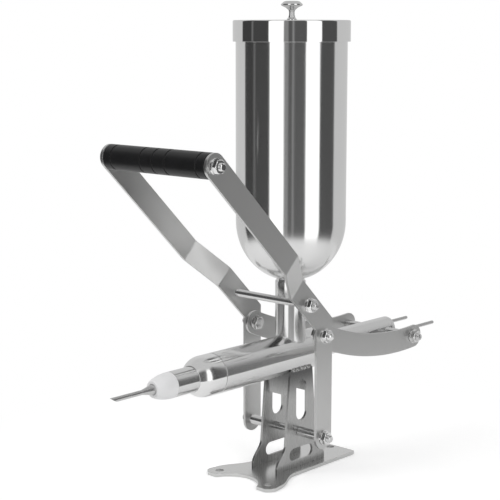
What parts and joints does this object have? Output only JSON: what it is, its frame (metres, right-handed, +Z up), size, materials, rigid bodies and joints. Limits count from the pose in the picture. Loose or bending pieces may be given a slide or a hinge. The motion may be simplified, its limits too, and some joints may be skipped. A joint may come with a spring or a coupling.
{
  "type": "lever-operated pastry filler",
  "caption": "Free-standing stainless steel pastry filler: tall lidded hopper over a horizontal piston pump, worked by a swinging yoke handle and curved links.",
  "frame": {"origin": "underside of the base plate, straight below the hopper's axis", "axes": "+Z up, -Y towards the nozzle, +X to the side that the picture shows nearest"},
  "size_m": [0.1708, 0.5117, 0.5134],
  "materials": {
    "brushed_bar": "satin, brushed along the bar",
    "polished_steel": "polished, with fine turning marks",
    "sheet_steel": "mirror polished sheet",
    "fastener_steel": "bright machined",
    "white_plastic": "smooth turned plastic",
    "seal_white": "matte silicone",
    "grip_rubber": "matte moulded rubber",
    "ring_rubber": "matte rubber"
  },
  "bodies": {
    "stand": {"base_plate": "brushed_bar", "stand_plate_left": "brushed_bar", "stand_plate_right": "brushed_bar", "cradle_plate_front": "brushed_bar", "cradle_plate_rear": "brushed_bar", "barrel_welds": "brushed_bar", "pump_barrel": "polished_steel", "guide_rods": "polished_steel", "feed_neck": "polished_steel", "hopper": "sheet_steel", "screw_cap": "polished_steel", "cap_seal": "seal_white", "outlet_tube": "polished_steel", "nozzle_nut": "white_plastic", "needle_nozzle": "polished_steel", "nozzle_seal": "seal_white"},
    "lever": {"lever_arm_left": "brushed_bar", "lever_arm_right": "brushed_bar", "grip_tube": "polished_steel", "rubber_grip": "grip_rubber", "grip_stud": "fastener_steel", "tie_rod": "polished_steel", "lever_axle": "polished_steel", "axle_sleeves": "polished_steel", "elbow_bolts": "fastener_steel", "elbow_inner_washers": "fastener_steel", "lever_washers": "fastener_steel", "lever_nuts": "fastener_steel"},
    "links": {"link_left": "brushed_bar", "link_right": "brushed_bar"},
    "piston": {"piston_head": "white_plastic", "piston_rings": "ring_rubber", "piston_tube": "polished_steel", "piston_end_plug": "polished_steel", "cross_rod": "polished_steel", "cross_rod_washers": "fastener_steel", "cross_rod_nuts": "fastener_steel"},
    "lid": {"lid": "sheet_steel", "lid_knob": "polished_steel", "knob_screw": "fastener_steel"}
  },
  "joints": [
    {"name": "lever_swing", "type": "hinge", "parent": "stand", "child": "lever", "pos_m": [0, -0.0055, 0.044], "axis": [1, 0, 0], "range_deg": [-3, 33]},
    {"name": "piston_slide", "type": "slide", "parent": "stand", "child": "piston", "axis": [0, -1, 0], "range_m": [-0.0056, 0.0608]},
    {"name": "link_swing", "type": "hinge", "parent": "piston", "child": "links", "pos_m": [0, 0.161, 0.1288], "axis": [1, 0, 0], "range_deg": [-0.6, 5.4]},
    {"name": "lid_lift", "type": "slide", "parent": "stand", "child": "lid", "axis": [0, 0, 1], "range_m": [0, 0.12]}
  ],
  "couplings": [
    {"joint": "piston_slide", "follows": "lever_swing", "m_per_rad": 0.10529},
    {"joint": "link_swing", "follows": "lever_swing", "ratio": 0.15788}
  ]
}
